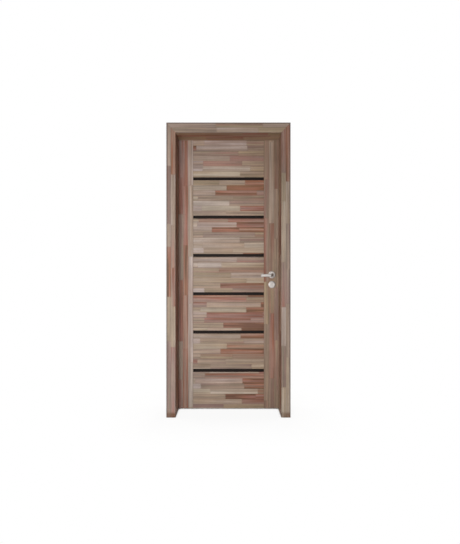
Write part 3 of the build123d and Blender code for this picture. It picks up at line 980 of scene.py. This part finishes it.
def hinge_screws(half, face_x, direction, body):
    """Three screws in every plate of one half of the hinges."""
    mesh = bmesh.new()
    for level in HINGES:
        low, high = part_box(f"{level}_hinge_{half}_plate")
        centre_z = (low.z + high.z) / 2
        centre_y = low.y + PLATE_DEPTH / 2
        for index in (-1, 0, 1):
            stagger = HINGE_SCREW_STAGGER if index == 0 else -HINGE_SCREW_STAGGER
            place = Vector((face_x, centre_y + stagger, centre_z + index * HINGE_SCREW_STEP))
            screw_head(mesh, HINGE_SCREW, place, direction)
    add_piece(f"hinge_screws_{half}", mesh, body, plate_metal)


def plate_screws(title, plate, face_x, direction, body, extra=()):
    """One screw near each end of an upright plate, and any extra ones by height."""
    mesh = bmesh.new()
    low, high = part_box(plate)
    centre_y = (low.y + high.y) / 2
    for height in (low.z + PLATE_SCREW_INSET, high.z - PLATE_SCREW_INSET):
        screw_head(mesh, PLATE_SCREW, Vector((face_x, centre_y, height)), direction)
    for height in extra:
        screw_head(mesh, FIXING_SCREW, Vector((face_x, centre_y, height)), direction)
    add_piece(title, mesh, body, plate_metal)


jamb_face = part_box("jamb_hinge_side")[1].x
leaf_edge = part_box("stile_hinge_side")[0].x
strike_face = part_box("strike_plate")[0].x
faceplate_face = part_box("mortise_lock")[1].x - FACEPLATE_SUNK
key_height = escutcheon_centre.z + KEY_RISE
hinge_screws("frame", jamb_face, (1, 0, 0), "frame")
hinge_screws("leaf", leaf_edge, (-1, 0, 0), "leaf")
plate_screws("strike_screws", "strike_plate", strike_face, (-1, 0, 0), "frame")
plate_screws("faceplate_screws", "mortise_lock", faceplate_face, (1, 0, 0), "leaf", extra=(key_height,))

# %% [markdown]
# ## Hinge tips, collars, plug rings and grub screws
# Each hinge pin ends in a small rounded tip above and below its barrel. A collar on each rose steadies the
# lever's neck, a thin ring marks the key plug in each end of the lock cylinder, and a small grub screw under
# each neck holds the lever to its spindle. All of them are turned, from profiles in millimetres.

# %% Fit the hinge tips, the collars, the plug rings and the grub screws
TIP_PROFILE = ((5.6, -0.25), (5.8, 0.5), (5.3, 2.0), (3.9, 3.2), (1.8, 3.8))
COLLAR_PROFILE = ((9.9, 0.0), (12.6, 0.0), (12.6, 3.4), (12.2, 4.3), (11.4, 4.8), (9.9, 4.8))
PLUG_RING_PROFILE = ((6.6, -0.4), (7.4, -0.4), (7.4, 0.25), (7.2, 0.45), (6.8, 0.45), (6.6, 0.25))
GRUB_PROFILE = ((1.3, -1.2), (2.6, -1.2), (2.6, 0.3), (2.3, 0.55), (1.3, 0.55))
BARREL_RADIUS = 6 * MM
GRUB_FROM_ROSE = 10.5 * MM
NECK_RADIUS = 9.5 * MM


def turned_piece(title, profile, place, direction, body, material):
    """One hollow turned piece, set at a place and facing a direction."""
    mesh = bmesh.new()
    turn(mesh, profile, facing_along(place, direction))
    add_piece(title, mesh, body, material)


tips = bmesh.new()
for level in HINGES:
    low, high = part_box(f"{level}_hinge_frame_plate")
    for height, way in ((low.z, -1), (high.z, 1)):
        barrel_end = Vector((high.x - BARREL_RADIUS, high.y - BARREL_RADIUS, height))
        turn(tips, TIP_PROFILE, facing_along(barrel_end, (0, 0, way)), hollow=False)
add_piece("hinge_tips", tips, "frame", plate_metal)

plug_front, plug_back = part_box("lock_cylinder")
for side, outward in zip(SIDES, (-1, 1)):
    low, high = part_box(f"rose_{side}")
    rose_face = low.y if outward < 0 else high.y
    plug_face = plug_front.y if outward < 0 else plug_back.y
    outwards = (0, outward, 0)
    seat = Vector((rose_centre.x, rose_face, rose_centre.z))
    plug = Vector((rose_centre.x, plug_face, key_height))
    under = Vector((rose_centre.x, rose_face + outward * GRUB_FROM_ROSE, rose_centre.z - NECK_RADIUS))
    turned_piece(f"neck_collar_{side}", COLLAR_PROFILE, seat, outwards, "leaf", rose_metal)
    turned_piece(f"key_plug_ring_{side}", PLUG_RING_PROFILE, plug, outwards, "leaf", escutcheon_metal)
    turned_piece(f"grub_screw_{side}", GRUB_PROFILE, under, (0, 0, -1), "lever", lever_metal)

# %% [markdown]
# ## Softened metal edges
# No pressed or turned piece has a perfectly sharp edge, and it is the thin highlight along it that reads as
# metal. A Bevel modifier rounds only the edges that are sharper than an angle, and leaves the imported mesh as
# it is.

# %% Soften the metal edges
EDGE_ROUND = 0.5 * MM
BEVEL_ANGLE = math.radians(40)
SOFTENED = [f"{piece}_{side}" for piece in ("lever", "rose", "escutcheon") for side in SIDES]
for name in SOFTENED:
    bevel = nodes[name].modifiers.new("soft edges", "BEVEL")
    bevel.width = EDGE_ROUND
    bevel.segments = 2
    bevel.limit_method = "ANGLE"
    bevel.angle_limit = BEVEL_ANGLE
    bevel.harden_normals = False
print("softened pieces:", len(SOFTENED))

# %% [markdown]
# ## Floor
# The door stands on a pale floor before a plain white ground. For the camera, and in reflections, the floor
# is white as the background is. Close to the frame part of its own shading comes through, which keeps the
# soft shadow at the feet, and where something stands closer above it than the width of a thumb, as in the gap
# under the leaf, all of it does. For all other light it is an ordinary pale floor that throws some light back
# up.

# %% Build the floor
FLOOR_SIZE = 30.0
FLOOR_PALE = paint(228, 226, 222)
FLOOR_ROUGH = 0.8
SHADOW_REACH = 0.45
SHADOW_SHARE = 0.08
CONTACT_REACH = 25 * MM
CONTACT_SPAN = (0.2, 0.8)


def seen_directly(tree):
    """1 for rays from the camera, a mirror or glass, and 0 for the light that falls on things."""
    rays = tree.nodes.new("ShaderNodeLightPath").outputs
    mirrored = calc(tree, "MAXIMUM", rays["Is Glossy Ray"], rays["Is Transmission Ray"])
    return calc(tree, "MAXIMUM", rays["Is Camera Ray"], mirrored)


def distance_from(tree, parts, low, high):
    """How far a place on the floor is from a box that stands on it."""
    gaps = []
    for axis, near, far in (("X", low.x, high.x), ("Y", low.y, high.y)):
        from_middle = calc(tree, "ABSOLUTE", calc(tree, "SUBTRACT", parts[axis], (near + far) / 2))
        beyond = calc(tree, "SUBTRACT", from_middle, (far - near) / 2)
        gaps.append(calc(tree, "MAXIMUM", beyond, 0.0))
    return length_of(tree, point(tree, gaps[0], gaps[1], 0.0))


def floor_material(low, high):
    """White when looked at, with a share of its own shading near the frame and all of it in narrow gaps."""
    material, tree, shader = new_material("pale_floor")
    place, parts, facing = object_place(tree)
    near_frame = spread(tree, distance_from(tree, parts, low, high), 0.0, SHADOW_REACH, SHADOW_SHARE, 0.0)
    open_sky = add(tree, "AmbientOcclusion", {"Distance": CONTACT_REACH}, samples=8).outputs["AO"]
    shading = calc(tree, "MAXIMUM", near_frame, spread(tree, open_sky, *CONTACT_SPAN, 1.0, 0.0))
    shader.inputs["Base Color"].default_value = FLOOR_PALE
    shader.inputs["Roughness"].default_value = FLOOR_ROUGH
    white = tree.nodes.new("ShaderNodeEmission").outputs["Emission"]
    looked_at = calc(tree, "MULTIPLY", seen_directly(tree), calc(tree, "SUBTRACT", 1.0, shading))
    mixed = add(tree, "MixShader", {"Fac": looked_at, 1: shader.outputs["BSDF"], 2: white})
    output = next(node for node in tree.nodes if node.type == "OUTPUT_MATERIAL")
    tree.links.new(mixed.outputs["Shader"], output.inputs["Surface"])
    return material


floor_mesh = bmesh.new()
bmesh.ops.create_grid(floor_mesh, x_segments=2, y_segments=2, size=FLOOR_SIZE / 2)
floor_data = bpy.data.meshes.new("floor")
floor_mesh.to_mesh(floor_data)
floor_mesh.free()
floor_data.materials.append(floor_material(*cad_box))
floor = bpy.data.objects.new("floor", floor_data)
bpy.context.scene.collection.objects.link(floor)
print("floor reaches", FLOOR_SIZE / 2, "m each way")

# %% [markdown]
# ## Background
# The world lies behind and around everything. It is white where the camera, a mirror or glass looks at it,
# and a dim even light for all that it falls on, so a white background costs the wood none of its colour.

# %% Build the world
WHITE = (1.0, 1.0, 1.0, 1.0)
AMBIENT = 0.11
world = bpy.data.worlds.new("white_studio")
bpy.context.scene.world = world
world.use_nodes = True
sky = world.node_tree
sky.nodes.clear()
room_light = add(sky, "Background", {"Color": WHITE, "Strength": AMBIENT}).outputs["Background"]
white_ground = add(sky, "Background", {"Color": WHITE, "Strength": 1.0}).outputs["Background"]
chosen = add(sky, "MixShader", {"Fac": seen_directly(sky), 1: room_light, 2: white_ground})
sky.links.new(chosen.outputs["Shader"], sky.nodes.new("ShaderNodeOutputWorld").inputs["Surface"])
print("ambient light", AMBIENT)

# %% [markdown]
# ## Lamps
# One soft lamp stands close to the camera, to its left, so the faces are bright and the deep reveals stay in
# shade. One behind the door lights the indoor side, one hangs over it, and two stand a little behind the
# wall's plane for the edges, where no light of theirs gets into the reveals. The last three don't show in
# reflections, or they would flare on the varnish. The power is chosen so that a surface that faces a lamp
# shows about the colour that is written in its material.

# %% Place the lamps
AIM_HEIGHT = 1.04
DOOR_MIDDLE = Vector(((leaf_low.x + leaf_high.x) / 2, 0.0, AIM_HEIGHT))
# For each lamp its place and the side of its square in metres, and its power in watts.
LAMPS = {
    "front_lamp": ((-0.16, -2.45, 1.05), 0.66, 50.0),
    "indoor_lamp": ((0.9, 3.4, 1.9), 2.0, 90.0),
    "top_lamp": ((DOOR_MIDDLE.x, 0.0, 4.6), 0.8, 40.0),
    "left_lamp": ((-2.6, 0.9, 1.4), 1.2, 60.0),
    "right_lamp": ((3.45, 0.9, 1.4), 1.2, 60.0),
}
EDGE_LAMPS = ("top_lamp", "left_lamp", "right_lamp")


def soft_lamp(title, place, size, power):
    """A square soft lamp aimed at the middle of the door."""
    data = bpy.data.lights.new(title, "AREA")
    data.shape = "SQUARE"
    data.size = size
    data.energy = power
    lamp = bpy.data.objects.new(title, data)
    lamp.location = place
    lamp.rotation_euler = (DOOR_MIDDLE - Vector(place)).to_track_quat("-Z", "Y").to_euler()
    lamp.visible_camera = False
    lamp.visible_glossy = title not in EDGE_LAMPS
    bpy.context.scene.collection.objects.link(lamp)


for title, (place, size, power) in LAMPS.items():
    soft_lamp(title, place, size, power)
print("lamps:", ", ".join(LAMPS))

# %% [markdown]
# ## Camera
# The photograph looks straight at the door from about two and a half metres, at about half its height,
# through a wide lens. No tilt and no shift are needed: the camera stands level and looks along Y.

# %% Place the camera
CAMERA_PLACE = (0.43465, -2.703, 1.0408)
LENS = 24.0
SENSOR_WIDTH = 36.0
lens_data = bpy.data.cameras.new("photo_view")
lens_data.lens = LENS
lens_data.sensor_width = SENSOR_WIDTH
camera = bpy.data.objects.new("photo_view", lens_data)
camera.location = CAMERA_PLACE
camera.rotation_euler = (math.pi / 2, 0.0, 0.0)
bpy.context.scene.collection.objects.link(camera)
bpy.context.scene.camera = camera
bpy.context.scene.view_settings.view_transform = "Standard"
print("camera at", CAMERA_PLACE, "lens", LENS)
